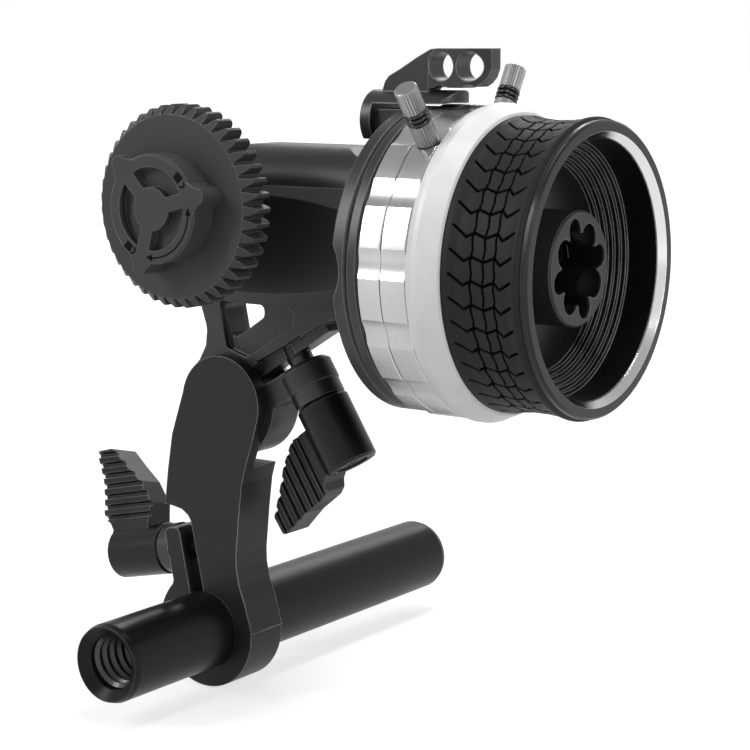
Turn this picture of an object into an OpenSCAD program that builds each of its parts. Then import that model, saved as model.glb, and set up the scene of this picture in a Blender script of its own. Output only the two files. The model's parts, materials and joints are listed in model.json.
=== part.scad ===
// Follow focus unit: a hand wheel with two adjustable stops turns a lens gear
// through a small gearbox, which swings on a clamp arm held by a round rod.
// Frame: the hand wheel turns about the X axis, with its open mouth toward +X.
// The lens gear turns about a line along Y, straight above the origin, and its
// face looks toward -Y. The rod runs along Y below the arm, and +Z is up.

/* [Hand wheel] */
// Depth from the rim to the flat floor of the dish
dish_depth = 11.6; // [9:0.1:13]
// Thickness of the wall between the dish and the grip
dish_wall = 1.4; // [1:0.1:1.8]
// Thickness of the rubber grip at its lips
rubber_t = 2.1; // [1.9:0.1:2.6]
// Number of turned steps between the dish wall and its floor
dish_steps = 5; // [3:1:7]
// Width of the rubber grip along the axis
grip_w = 14.9; // [12:0.1:18]
// How far the grip's lips lie inside the marking ring's edge
grip_inset = 2.1; // [1.6:0.1:2.4]
// Radius of the hub that takes the speed crank
hub_r = 9.96; // [9.6:0.02:11]
// Height of the hub above the floor of the dish
hub_rise = 7.1; // [5:0.1:9]
// Reach of the four large lobes of the crank socket
socket_reach = 8.95; // [8.4:0.05:9.2]
// Depth of the crank socket
socket_depth = 8; // [6:0.1:9]

/* [Marking ring] */
// Width of the white marking ring along the axis
marking_w = 5.7; // [4.5:0.1:8]
// How far the marking ring stands out over the stop rings
marking_proud = 0.4; // [0.1:0.1:1.2]

/* [Stop rings] */
// How far both stop rings stand out over the flange
ring_proud = 0.4; // [0.1:0.1:0.8]
// Width of the rear stop ring
ring_a_w = 4.4; // [4.2:0.1:6]
// Width of the front stop ring
ring_b_w = 5; // [4.2:0.1:6]
// Thickness of both rings from the drum outward
ring_wall = 5.4; // [5.2:0.1:6.5]
// Number of shallow finger scallops round each ring
scallops = 14; // [10:1:18]
// Angle of the front ring's stop screw from the top toward the front
stop_b_angle = 37.5; // [30:0.1:60]
// Angle of the rear ring's stop screw from the top toward the back
stop_a_angle = 30; // [25:0.1:60]
// Radius of a stop screw's knurled head
stop_screw_r = 2; // [1.6:0.1:2.1]
// Length of a stop screw's head outside the ring
stop_screw_len = 11.2; // [9:0.1:13]

/* [Lens gear] */
// Number of teeth of the lens gear
gear_teeth = 43; // [32:1:56]
// Module of the lens gear's teeth
gear_module = 0.8; // [0.7:0.05:0.9]
// Thickness of the lens gear
gear_w = 5.8; // [5:0.1:7]
// Distance from the middle of the unit to the gear's front face
gear_front = 28.9; // [28:0.1:30]
// Radius of the lock cap without its lugs
cap_r = 9.64; // [9:0.02:10.5]
// Height of the lock cap over the gear's face
cap_h = 5.3; // [5.2:0.1:6]
// Turn of the lock cap between locked and open
cap_turn = 60; // [45:5:70]

/* [Gearbox] */
// Height of the lens gear's axis over the wheel's axis
gear_rise = 9.4; // [9:0.05:10]
// Distance from the gear's axis to the flange
box_reach = 32.3; // [30:0.1:36]
// Depth of the housing toward the front
box_front = 15.2; // [14.4:0.1:16]
// Depth of the housing toward the back
box_back = 13; // [12.6:0.1:14]
// Top of the housing over the wheel's axis
box_top = 19.6; // [18.8:0.1:21]
// Bottom of the housing under the wheel's axis
box_bottom = 9.3; // [9:0.1:10.5]
// Number of teeth of each small gear inside
small_teeth = 12; // [12:1:14]
// Radius of the wheel's shaft
wheel_shaft_r = 3.5; // [3:0.1:3.6]
// Radius of the two gear shafts
gear_shaft_r = 2; // [1.6:0.1:2.1]
// Radius of the knurled rear cover
cover_r = 13.8; // [13:0.1:15]
// Thickness of the knurled rear cover
cover_w = 4.6; // [4:0.1:6]

/* [Stop flange] */
// Radius of the flange behind the stop rings
flange_r = 27; // [26:0.1:27.2]
// Width of the flange's rim along the axis
flange_w = 3.9; // [3.4:0.1:5]
// Depth of the thumb notch in the rim's rear edge
notch_depth = 2.8; // [2:0.1:2.9]
// Thickness of the stop arm's plate
stop_plate_t = 4.6; // [3:0.1:5]
// Radius of the two holes in the stop arm
stop_hole_r = 2.5; // [2:0.1:2.6]
// Distance between the two holes in the stop arm
stop_hole_pitch = 5.6; // [5.5:0.1:6]

/* [Swing bracket] */
// Distance from the gear's axis to the swing pivot, to the left
pivot_side = 7.35; // [6.5:0.05:8]
// Depth of the swing pivot under the wheel's axis
pivot_drop = 29.6; // [28:0.1:32]
// Thickness of the swing bracket
bracket_t = 8; // [7.4:0.1:9]
// Outer radius of the bracket's clamp ring
bracket_ring_r = 10.5; // [10:0.1:11]
// Radius of the arm's pivot stub
stub_r = 7; // [6:0.1:7.4]
// Slope of the bracket's slit over the horizontal
swing_slit_angle = 32; // [28:0.5:36]
// Width of the bracket's slit
swing_slit_w = 4.3; // [3:0.1:4.6]

/* [Clamp arm] */
// Distance from the swing pivot down to the rod's axis
arm_drop = 44.74; // [43:0.01:48]
// Sideways distance from the swing pivot to the rod's axis
arm_side = 4.3; // [3.6:0.1:5]
// Radius of the arm's round top
arm_top_r = 9.2; // [8.8:0.1:9.8]
// Thickness of the arm's clamp end
arm_t = 9.5; // [9:0.1:11]
// Thickness of the arm's thin upper plate
arm_plate_t = 2.7; // [2:0.1:2.9]
// Outer radius of the rod clamp
rod_clamp_r = 11.3; // [10.8:0.1:12]
// Width of the rod clamp's slit
rod_slit_w = 3.5; // [2.5:0.1:3.8]
// Slope of the rod clamp's screw over the horizontal
rod_screw_angle = 12.1; // [10:0.1:14]

/* [Rod] */
// Radius of the rod
rod_r = 7.5; // [7.4:0.05:7.6]
// Length of the rod
rod_len = 102.4; // [80:0.1:150]
// Part of the rod in front of the wheel's axis
rod_front = 35.4; // [30:0.1:45]
// Core radius of the threaded hole in each end
rod_thread_r = 5.1; // [4.5:0.05:5.5]
// Depth of the threaded holes
rod_thread_depth = 15; // [10:0.1:20]

/* [Clamp levers] */
// Radius of a lever's barrel
barrel_r = 5.1; // [4.8:0.05:5.4]
// Length of a lever's barrel
barrel_len = 13.2; // [12:0.1:15]
// Reach of a lever's wing from the barrel's axis
wing_reach = 21; // [18:0.1:24]
// Number of grip grooves on a wing
wing_grooves = 7; // [5:1:10]
// Turn of the rod clamp's lever about its screw
rod_lever_turn = 13.8; // [0:0.2:30]
// Turn of the swing clamp's lever about its screw
swing_lever_turn = 1.8; // [0:0.2:20]

/* [Hidden] */

$fn = 96;
// Shared small sizes: cut overrun, running fit, plain gap and screw sizes
over = 1;
fit = 0.04;
gap = 0.3;
edge = 0.4;
screw_r = 1.25;
screw_head_r = 2.5;
screw_head_h = 1.6;
screw_hex_r = 1.1;
black = "dimgray";
dark = "darkslategray";
silver = "gainsboro";

// Stations along the wheel's axis, each from the one before it
flange_front = box_reach + flange_w;
groove_w = 0.3;
cover_plate_w = 2.2;
cover_plate_front = flange_front + groove_w + cover_plate_w;
drum_rear = cover_plate_front + gap;
ring_a_rear = cover_plate_front + edge;
ring_play = 0.1;
ring_a_front = ring_a_rear + ring_a_w;
ring_b_rear = ring_a_front + ring_play;
ring_b_front = ring_b_rear + ring_b_w;
marking_rear = ring_b_front + 2 * ring_play;
marking_front = marking_rear + marking_w;
grip_front = marking_front + grip_w;
rim_w = 1.2;
rim_front = grip_front + rim_w;
rim_rear = rim_front - 1.2 * rim_w;
dish_floor = rim_front - dish_depth;
hub_front = dish_floor + hub_rise;
socket_floor = hub_front - socket_depth;

// Radii of the wheel and its rings, each from the flange's radius
ring_r = flange_r + ring_proud;
drum_r = ring_r - ring_wall;
marking_r = ring_r + marking_proud;
grip_r = marking_r - grip_inset;
grip_seat_r = grip_r - rubber_t;
dish_r = grip_seat_r - dish_wall;

// Clearances and places of the arm, the rod and the screws
rod_x = -pivot_side - arm_side;
rod_z = -pivot_drop - arm_drop;
bracket_front = -bracket_t / 2;
arm_front = bracket_front - gap - arm_plate_t;
arm_back = arm_front + arm_t;
arm_mid = (arm_front + arm_back) / 2;
neck_len = 3.1;
stud_r = 2.4;
stud_fit = 0.2;
// The clamp ring's own frame: the screw's place beside the slit
rod_screw_rise = 15.8;
rod_slit_side = -0.45;
rod_jaw_t = 3.7;
rod_jaw_out = -rod_slit_side + rod_slit_w / 2 + rod_jaw_t;
rod_jaw_top = 20.4;
swing_screw_out = 16.7;
swing_slit_rise = 1.05;
swing_jaw_t = 4.7;
swing_jaw_top = swing_slit_rise - swing_slit_w / 2;
swing_jaw_low = swing_jaw_top - swing_jaw_t;

// Bearings: outer radius and width of both kinds
wheel_bearing_r = 2 * wheel_shaft_r;
wheel_bearing_w = 5;
gear_bearing_r = 2 * gear_shaft_r;
gear_bearing_w = 3;
plate_t = 3.2;
cover_z = gear_rise / 2;

// Small gears: a mitre pair at the origin and a spur pair behind it
spur_pitch_r = gear_rise / 2;
spur_w = 3;
spur_back = box_back - plate_t - gap;
spur_front = spur_back - spur_w;
mitre_pitch_r = 5;
mitre_share = 0.55;
mitre_hub_r = 3.9;
mitre_hub_len = 2.3;
tooth_high_share = 0.11;
tooth_deep_share = 0.17;

// Turned solids about the X axis, and about lines along Y
module about_x(points) {
    rotate([0, 90, 0]) rotate_extrude() polygon(points);
}

module about_y(points) {
    rotate([-90, 0, 0]) rotate_extrude() polygon(points);
}

module bar_x(r, from, to) {
    translate([from, 0, 0]) rotate([0, 90, 0]) cylinder(r = r, h = to - from);
}

module bar_y(r, from, to) {
    translate([0, from, 0]) rotate([-90, 0, 0]) cylinder(r = r, h = to - from);
}

// A flat outline in X and Z, given thickness along Y
module plate_y(from, to) {
    translate([0, to, 0]) rotate([90, 0, 0]) linear_extrude(to - from) children();
}

// A flat outline in Y and Z, given thickness along X
module plate_x(from, to) {
    translate([from, 0, 0]) rotate([90, 0, 90]) linear_extrude(to - from) children();
}

// Moves to the rod clamp's own frame: X along its screw, toward the arm
module in_rod_clamp() {
    translate([rod_x, arm_mid, rod_z]) rotate([0, -rod_screw_angle, 0]) children();
}

// Moves to the swing clamp's own frame: X along its slit, away from the pivot
module in_swing_clamp() {
    translate([-pivot_side, 0, -pivot_drop]) rotate([0, -swing_slit_angle, 0]) children();
}

// Moves to a lever's frame: Z out along the screw, X along the wing
module at_rod_lever() {
    in_rod_clamp() translate([-rod_jaw_out, 0, rod_screw_rise]) rotate([0, -90, 0]) children();
}

module at_swing_lever() {
    in_swing_clamp() translate([swing_screw_out, 0, swing_jaw_low]) rotate([0, 180, 0]) children();
}

// A spur gear's outline: flanks drawn through root, pitch and tip
function tooth_ring(teeth, pitch_r, high, deep, thick_share) = [
    for (i = [0 : teeth - 1])
        let (step = 360 / teeth, mid = i * step, half = step * thick_share / 2)
            each [
                [pitch_r - deep, mid - 1.45 * half],
                [pitch_r, mid - half],
                [pitch_r + high, mid - 0.42 * half],
                [pitch_r + high, mid + 0.42 * half],
                [pitch_r, mid + half],
                [pitch_r - deep, mid + 1.45 * half]
            ]
];

function around(ring, turn) = [
    for (p = ring) [p[0] * cos(p[1] + turn), p[0] * sin(p[1] + turn)]
];

// A wire coil about Z, from rings of points along a helix
module coil(mean_r, wire_r, pitch, turns, sides, steps) {
    total = turns * steps;
    rings = [
        for (k = [0 : total])
            let (a = 360 * k / steps, z = wire_r + pitch * k / steps)
                for (j = [0 : sides - 1])
                    let (b = 360 * j / sides, r = mean_r + wire_r * cos(b))
                        [r * cos(a), r * sin(a), z + wire_r * sin(b)]
    ];
    walls = [
        for (k = [0 : total - 1])
            for (j = [0 : sides - 1])
                let (n = (j + 1) % sides, p = k * sides, q = p + sides)
                    each [[p + j, p + n, q + n], [p + j, q + n, q + j]]
    ];
    first = [[for (j = [0 : sides - 1]) sides - 1 - j]];
    last = [[for (j = [0 : sides - 1]) total * sides + j]];
    polyhedron(rings, concat(walls, first, last));
}

// Rod: a turned tube end with a wide countersink and a threaded hole
module rod() {
    end_edge = 1.2;
    sink = rod_thread_depth / 10;
    mouth_r = rod_r - end_edge / 3;
    back = rod_len - rod_front;
    color(black) translate([rod_x, 0, rod_z]) difference() {
        about_y([[0, -rod_front], [mouth_r, -rod_front], [rod_r, end_edge - rod_front],
            [rod_r, back - end_edge], [mouth_r, back], [0, back]]);
        bar_y(rod_thread_r, -rod_front - over, rod_thread_depth - rod_front);
        bar_y(rod_thread_r, back - rod_thread_depth, back + over);
        about_y([[0, -rod_front - over], [mouth_r - edge / 2, -rod_front - over],
            [mouth_r - edge / 2, -rod_front], [rod_thread_r, sink - rod_front],
            [0, sink - rod_front]]);
        about_y([[0, back + over], [mouth_r - edge / 2, back + over],
            [mouth_r - edge / 2, back], [rod_thread_r, back - sink], [0, back - sink]]);
    }
}

// Side lines of the arm, as shares of its top radius and its drop
arm_left_shares = [[-0.893, -0.092], [-1.303, 0.157], [-1.43, 0.313], [-1.524, 0.469],
    [-1.3, 0.474], [-1.06, 0.483], [-0.9, 0.505], [-0.82, 0.53], [-0.457, 0.872]];
arm_right_shares = [[0.785, 0.983], [0.602, 0.855], [0.46, 0.78], [0.391, 0.709],
    [0.385, 0.65], [0.407, 0.603], [0.47, 0.47], [0.553, 0.333], [0.69, 0.235],
    [0.827, 0.152], [0.93, 0.08], [0.991, -0.026]];
arm_ledge_drop = 11.9;

module arm_side_outline() {
    translate([-pivot_side, -pivot_drop]) {
        circle(r = arm_top_r);
        polygon([for (p = concat(arm_left_shares, arm_right_shares))
            [p[0] * arm_top_r, -p[1] * arm_drop]]);
    }
}

// The clamp ring and its jaw, drawn in the screw's frame
module arm_jaw_outline() {
    jaw_r = 1.2;
    translate([rod_x, rod_z]) rotate(rod_screw_angle) {
        circle(r = rod_clamp_r);
        offset(r = jaw_r) offset(r = -jaw_r) union() {
            translate([-rod_jaw_out, 0]) square([rod_jaw_t, rod_jaw_top]);
            polygon([[-rod_jaw_out, rod_jaw_top / 2], [-rod_clamp_r * 0.98, 0],
                [0, 0], [-rod_jaw_out + rod_jaw_t, rod_jaw_top / 2]]);
        }
    }
}

module arm_solid_outline() {
    difference() {
        union() {
            arm_side_outline();
            arm_jaw_outline();
        }
        translate([rod_x, rod_z]) {
            rotate(rod_screw_angle)
                translate([rod_slit_side - rod_slit_w / 2, 0])
                    square([rod_slit_w, rod_jaw_top + over]);
        }
    }
}

// Clamp arm: a thin round plate over the pivot, and a thick split rod clamp
module clamp_arm() {
    ledge_z = -pivot_drop - arm_ledge_drop;
    stub_end = bracket_t / 2 + gap / 3;
    color(black) difference() {
        union() {
            plate_y(arm_front, arm_front + arm_plate_t) arm_side_outline();
            plate_y(arm_front, arm_back) intersection() {
                arm_solid_outline();
                translate([rod_x - 3 * rod_clamp_r, ledge_z - 2 * arm_drop])
                    square([6 * rod_clamp_r, 2 * arm_drop]);
            }
            translate([-pivot_side, 0, -pivot_drop])
                bar_y(stub_r, arm_front + arm_plate_t / 2, stub_end);
        }
        translate([rod_x, 0, rod_z]) bar_y(rod_r + fit, arm_front - over, arm_back + over);
        translate([-pivot_side, 0, -pivot_drop])
            bar_y(screw_r + stud_fit / 2, arm_front + arm_plate_t, stub_end + over);
        in_rod_clamp() translate([0, 0, rod_screw_rise])
            bar_x(stud_r + stud_fit, -rod_jaw_out - over, stud_end_in + gap);
    }
}

// Rear of the swing pivot: a wide washer held by a low screw
pivot_washer_t = 1.4;
pivot_washer_r = 9;
module pivot_washer() {
    from = bracket_t / 2 + gap / 3;
    color(silver) translate([-pivot_side, 0, -pivot_drop]) difference() {
        about_y([[0, from], [pivot_washer_r, from],
            [pivot_washer_r, from + pivot_washer_t - edge],
            [pivot_washer_r - edge, from + pivot_washer_t], [0, from + pivot_washer_t]]);
        bar_y(screw_r + stud_fit, from - over, from + pivot_washer_t + over);
    }
}

module pivot_screw() {
    from = bracket_t / 2 + gap / 3 + pivot_washer_t;
    reach = bracket_t / 2 + bracket_t / 3;
    color(silver) translate([-pivot_side, 0, -pivot_drop]) difference() {
        about_y([[0, from - reach], [screw_r, from - reach], [screw_r, from],
            [2 * screw_head_r, from], [2 * screw_head_r, from + screw_head_h / 2],
            [screw_head_r, from + screw_head_h], [0, from + screw_head_h]]);
        translate([0, from + screw_head_h / 2, 0]) rotate([-90, 0, 0])
            cylinder(r = screw_hex_r * 1.5, h = screw_head_h, $fn = 6);
    }
}

// Clamp levers: a barrel that hides a spline, a spring and its screw
spline_teeth = 12;
spline_r = 3.4;
spline_h = 2.6;
collar_t = 2.8;
bore_r = spline_r + gap;
screw_bore_r = 1.7;
shoulder_t = 2.2;
well_r = 3.3;
pull_travel = 2.5;
cap_screw_h = 2.2;
stud_end_in = 9;
barrel_from = neck_len;
barrel_to = neck_len + barrel_len;
shoulder_from = barrel_from + spline_h + gap;
well_from = shoulder_from + shoulder_t;
cap_screw_from = barrel_to - cap_screw_h - edge;

// Wing outline seen along the serrated face: reach from the axis, then
// place along the barrel, as shares of the reach and the barrel's length
wing_shares = [[0, 0.27], [0.433, 0.27], [0.66, 0.52], [0.82, 0.79], [1, 1.07],
    [0.99, 1.39], [0.82, 1.32], [0.66, 1.26], [0.5, 1.24], [0.38, 1.22],
    [0.31, 1.16], [0.27, 1.05], [0.2, 0.97], [0, 0.97]];
// Faces of the wing seen along the barrel, as shares of reach and radius
wing_front_shares = [[0, 0.98], [0.2, 0.66], [0.45, 0.42], [0.7, 0.36], [1.1, 0.44]];
wing_back_shares = [[1.1, -0.95], [0.7, -0.82], [0.4, -0.66], [0, -0.6]];
groove_depth = 0.7;

module lever_wing() {
    round_r = 0.8;
    groove_first = 0.34 * wing_reach;
    groove_step = 0.72 * wing_reach / wing_grooves;
    difference() {
        intersection() {
            rotate([90, 0, 0]) translate([0, 0, -2 * barrel_r])
                linear_extrude(4 * barrel_r)
                    offset(r = round_r) offset(r = -round_r)
                        polygon([for (p = wing_shares)
                            [p[0] * wing_reach, barrel_from + p[1] * barrel_len]]);
            translate([0, 0, -over]) linear_extrude(2 * barrel_to) mirror([0, 1])
                polygon([for (p = concat(wing_front_shares, wing_back_shares))
                    [p[0] * wing_reach, p[1] * barrel_r]]);
        }
        for (i = [0 : wing_grooves - 1])
            let (x = groove_first + i * groove_step,
                y = -barrel_r * lookup(x / wing_reach, wing_front_shares))
                translate([x, y, barrel_from - over]) linear_extrude(2 * barrel_to)
                    polygon([[-groove_step * 0.36, -over], [-groove_step * 0.3, groove_depth],
                        [0, groove_depth], [groove_step * 0.42, -over]]);
    }
}

module lever_body(turn) {
    color(black) rotate(turn) difference() {
        union() {
            rotate_extrude() polygon([[0, barrel_from], [barrel_r - edge, barrel_from],
                [barrel_r, barrel_from + edge], [barrel_r, barrel_to - edge],
                [barrel_r - edge, barrel_to], [0, barrel_to]]);
            lever_wing();
        }
        translate([0, 0, barrel_from - over]) cylinder(r = bore_r, h = spline_h + gap + over);
        translate([0, 0, shoulder_from - over])
            cylinder(r = screw_bore_r, h = shoulder_t + 2 * over);
        translate([0, 0, well_from]) cylinder(r = well_r, h = barrel_len * 2);
    }
}

// Threaded stud with its collar and the splined end inside the barrel
module stud_body(length) {
    color(dark) {
        translate([0, 0, -length]) cylinder(r = stud_r, h = length + over);
        cylinder(r = barrel_r - edge / 2, h = collar_t);
        cylinder(r = spline_r, h = neck_len);
        translate([0, 0, collar_t])
            linear_extrude(neck_len - collar_t + spline_h)
                polygon(around(tooth_ring(spline_teeth, spline_r - edge,
                    edge / 2, edge / 2, 0.5), 0));
    }
}

module lever_spring_body() {
    wire_r = 0.28;
    turns = 3;
    free = cap_screw_from - well_from - pull_travel - gap;
    pitch = (free - 2 * wire_r) / turns;
    color(silver) translate([0, 0, well_from + gap / 6])
        coil(well_r - wire_r - gap, wire_r, pitch, turns, 6, 14);
}

module lever_screw_body() {
    from = neck_len + spline_h;
    color(dark) difference() {
        union() {
            translate([0, 0, from]) cylinder(r = screw_r, h = cap_screw_from - from + over);
            translate([0, 0, cap_screw_from]) cylinder(r = well_r - stud_fit / 2, h = cap_screw_h);
        }
        translate([0, 0, cap_screw_from + cap_screw_h / 2])
            cylinder(r = screw_hex_r * 1.3, h = cap_screw_h, $fn = 6);
    }
}

module rod_clamp_stud() {
    at_rod_lever() stud_body(rod_jaw_out + stud_end_in);
}

module rod_lever() {
    at_rod_lever() lever_body(rod_lever_turn);
}

module rod_lever_spring() {
    at_rod_lever() lever_spring_body();
}

module rod_lever_screw() {
    at_rod_lever() lever_screw_body();
}

module swing_clamp_stud() {
    at_swing_lever() stud_body(swing_stud_len);
}

module swing_lever() {
    at_swing_lever() lever_body(swing_lever_turn);
}

module swing_lever_spring() {
    at_swing_lever() lever_spring_body();
}

module swing_lever_screw() {
    at_swing_lever() lever_screw_body();
}

// Swing bracket: leg, diagonal bar and window, then a split clamp ring.
// Outline points are shares of the height from the pivot to the gearbox
bracket_rise = pivot_drop - box_bottom;
bracket_shares = [[-0.357, 1], [-0.328, 0.872], [-0.275, 0.72], [-0.266, 0.655],
    [-0.282, 0.512], [-0.369, 0.355], [0, 0.2], [0.227, 0.365], [1.057, 0.808],
    [1.19, 0.865], [1.32, 0.886], [1.32, 1]];
window_shares = [[-0.126, 0.97], [-0.032, 0.512], [0.204, 0.438], [0.736, 0.768],
    [0.766, 0.887], [0.65, 0.97]];
hole_shares = [[-0.111, 0.936], [-0.002, 0.576], [0.372, 0.823], [0.372, 0.936]];
window_depth = 1.3;
swing_stud_grip = 4.4;
swing_stud_len = swing_jaw_t + swing_slit_w + swing_stud_grip;

module bracket_points(shares) {
    polygon([for (p = shares) [p[0] * bracket_rise, p[1] * bracket_rise]]);
}

module bracket_outline() {
    jaw_end = swing_screw_out + barrel_r;
    translate([-pivot_side, -pivot_drop]) difference() {
        union() {
            circle(r = bracket_ring_r);
            bracket_points(bracket_shares);
            translate([bracket_rise, bracket_rise * 0.886])
                square([box_reach - over + pivot_side - bracket_rise, bracket_rise * 0.114]);
            rotate(swing_slit_angle) translate([0, swing_jaw_low])
                square([swing_screw_out, swing_jaw_t]);
        }
        rotate(swing_slit_angle) translate([0, swing_jaw_top])
            square([jaw_end, swing_slit_w]);
        circle(r = stub_r + fit);
    }
}

// A lip under the diagonal bar, thinner than the bar, narrows the slit
module swing_lip_outline() {
    lip_w = 2.2;
    lip_from = bracket_ring_r * 0.7;
    lip_to = swing_screw_out + 2 * barrel_r;
    translate([-pivot_side, -pivot_drop]) rotate(swing_slit_angle) polygon([
        [lip_from, swing_jaw_top + swing_slit_w - lip_w], [lip_to, swing_jaw_top + swing_slit_w - lip_w],
        [lip_to, swing_jaw_top + swing_slit_w - edge],
        [bracket_ring_r * 1.5, swing_jaw_top + swing_slit_w + edge],
        [lip_from, swing_jaw_top + swing_slit_w + edge]]);
}

module swing_bracket() {
    hole_r = 1.2;
    lip_share = 0.6;
    color(black) difference() {
        union() {
            plate_y(-bracket_t / 2, bracket_t / 2) bracket_outline();
            plate_y(-bracket_t * lip_share / 2, bracket_t * lip_share / 2) swing_lip_outline();
            in_swing_clamp() translate([swing_screw_out, 0, swing_jaw_low])
                rotate_extrude() polygon([[0, 0], [barrel_r, 0], [barrel_r, swing_jaw_t - 2 * edge],
                    [barrel_r - 2 * edge, swing_jaw_t], [0, swing_jaw_t]]);
        }
        plate_y(-bracket_t / 2 - over, window_depth - bracket_t / 2)
            translate([-pivot_side, -pivot_drop])
                offset(r = hole_r) offset(r = -hole_r) bracket_points(window_shares);
        plate_y(bracket_t / 2 - window_depth, bracket_t / 2 + over)
            translate([-pivot_side, -pivot_drop])
                offset(r = hole_r) offset(r = -hole_r) bracket_points(window_shares);
        plate_y(-bracket_t, bracket_t)
            translate([-pivot_side, -pivot_drop])
                offset(r = hole_r) offset(r = -hole_r) bracket_points(hole_shares);
        translate([-pivot_side, 0, -pivot_drop])
            bar_y(stub_r + fit, -bracket_t, bracket_t);
        in_swing_clamp() translate([swing_screw_out, 0, swing_jaw_low - over])
            cylinder(r = stud_r + stud_fit, h = swing_stud_len + over + gap);
    }
}

// Gearbox housing: a rounded casting, hollow for the gears and bearings
hump_r = 8.3;
crease_z = 12.5;
scoop_depth = 2.4;
front_low = -3.8;
front_high = 8.6;
neck_r = 13.9;
neck_inset = 1.2;
screw_bite = 4;
neck_to = box_reach + flange_w - neck_inset;
chamber_r = 11.2;
chamber_front = -7.6;
front_bearing_front = -chamber_front + gear_bearing_w;
wheel_bearing_seat = box_reach - wheel_bearing_w - gap;
inner_bearing_from = 14;

module housing_end_outline() {
    foot = 11;
    ease = 2;
    slope_z = box_top - hump_r;
    hump_y = foot - hump_r;
    polygon([[-foot, -box_bottom], [-box_front, front_low], [-box_front, front_high],
        [crease_z - front_high - box_front, crease_z], [foot, crease_z],
        [box_back, front_high + ease], [box_back, front_low - ease], [foot - ease, -box_bottom]]);
    for (s = [-1, 1]) translate([s * hump_y, slope_z]) circle(r = hump_r);
    translate([-hump_y, slope_z]) square([2 * hump_y, hump_r]);
}

module housing_side_outline() {
    end_r = (box_top + box_bottom) / 2;
    fall = 4.1;
    run = 11.3;
    translate([0, box_top - end_r]) circle(r = end_r);
    polygon([[0, -box_bottom], [box_reach, -box_bottom], [box_reach, box_top - fall],
        [box_reach - run, box_top], [0, box_top]]);
}

module gearbox_housing() {
    scoop_r = 130;
    scoop_x = 5;
    end_r = (box_top + box_bottom) / 2;
    color(black) difference() {
        union() {
            intersection() {
                plate_x(-end_r - over, box_reach) housing_end_outline();
                plate_y(-box_front - over, box_back + over) housing_side_outline();
            }
            bar_x(neck_r, box_reach - over, neck_to);
        }
        translate([scoop_x, scoop_depth - box_front - scoop_r, -box_bottom - over])
            cylinder(r = scoop_r, h = box_bottom + crease_z + over, $fn = 200);
        translate([0, 0, cover_z]) bar_y(chamber_r, chamber_front, box_back + over);
        bar_x(mitre_pitch_r * 1.3, 0, inner_bearing_from);
        bar_x(wheel_bearing_r, inner_bearing_from, neck_to + over);
        for (a = [45 : 90 : 315]) rotate([a, 0, 0]) translate([0, 0, screw_circle_r])
            bar_x(screw_r + fit, neck_to - screw_bite - gap, neck_to + over);
        for (z = [0, gear_rise]) translate([0, 0, z])
            bar_y(gear_bearing_r, -front_bearing_front, chamber_front + over);
        translate([0, 0, gear_rise])
            bar_y(gear_shaft_r + 2 * gap, -box_front - over, chamber_front);
    }
}

// Plate inside the back of the housing that holds the rear bearings
module bearing_plate() {
    color(silver) difference() {
        translate([0, 0, cover_z]) bar_y(chamber_r, box_back - plate_t, box_back);
        for (z = [0, gear_rise]) translate([0, 0, z])
            bar_y(gear_bearing_r, box_back - plate_t - over, box_back - plate_t + gear_bearing_w);
    }
}

// Round rear cover, knurled on its front bevel for the fingers
module rear_cover() {
    ribs = 60;
    bevel = 2;
    from = box_back;
    to = box_back + cover_w;
    color(black) translate([0, 0, cover_z]) difference() {
        about_y([[0, from], [cover_r - bevel, from], [cover_r, from + bevel],
            [cover_r, to - bevel / 2], [cover_r - bevel / 2, to], [0, to]]);
        for (i = [0 : ribs - 1])
            rotate([0, i * 360 / ribs, 0]) translate([cover_r - bevel - over, from - over, 0])
                rotate([0, 0, -45]) rotate([-90, 0, 0]) cylinder(r = edge, h = 4 * bevel, $fn = 4);
        about_y([[cover_r - 3 * bevel, to + over], [cover_r - 2.6 * bevel, to - edge],
            [cover_r - 2.2 * bevel, to + over]]);
    }
}

module bearing(outer, inner, width) {
    shield = width / 10;
    mid_r = (outer + inner) / 2;
    lip = (outer - inner) / 4;
    difference() {
        cylinder(r = outer, h = width);
        translate([0, 0, -over]) cylinder(r = inner + fit, h = width + 2 * over);
        for (z = [-over, width - shield]) translate([0, 0, z]) difference() {
            cylinder(r = outer - lip, h = shield + over);
            cylinder(r = inner + lip, h = shield + over);
        }
    }
}

module gear_bearings() {
    color(silver) for (z = [0, gear_rise]) translate([0, 0, z]) {
        translate([0, chamber_front, 0]) rotate([90, 0, 0])
            bearing(gear_bearing_r, gear_shaft_r, gear_bearing_w);
        translate([0, box_back - plate_t, 0]) rotate([-90, 0, 0])
            bearing(gear_bearing_r, gear_shaft_r, gear_bearing_w);
    }
}

module wheel_bearings() {
    color(silver) for (x = [inner_bearing_from, wheel_bearing_seat])
        translate([x, 0, 0]) rotate([0, 90, 0])
            bearing(wheel_bearing_r, wheel_shaft_r, wheel_bearing_w);
}

// Stop flange: a shallow cup with thumb notches and a boss for the stop arm
lip_t = 1.4;
rim_slope = 1.8;
flange_rear_r = flange_r - rim_slope;
web_from = neck_to;
shaft_room = 1;
flange_bore_r = wheel_shaft_r + shaft_room;
screw_inset = 3.3;
screw_circle_r = neck_r - screw_inset;
arm_screw_drop = 3;
arm_screw_z = flange_r - arm_screw_drop;
boss_w = 7.2;
boss_len = 6.1;
boss_drop = 0.6;
boss_top = flange_r - boss_drop;
boss_rear = box_reach - boss_len;

module flange_notch() {
    half = 9;
    steps = 12;
    points = [for (i = [-steps : steps])
        [notch_depth * (0.5 + 0.5 * cos(i * 180 / steps)), i * half / steps]];
    polygon(concat([[-over, -half]], points, [[-over, half]]));
}

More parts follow.
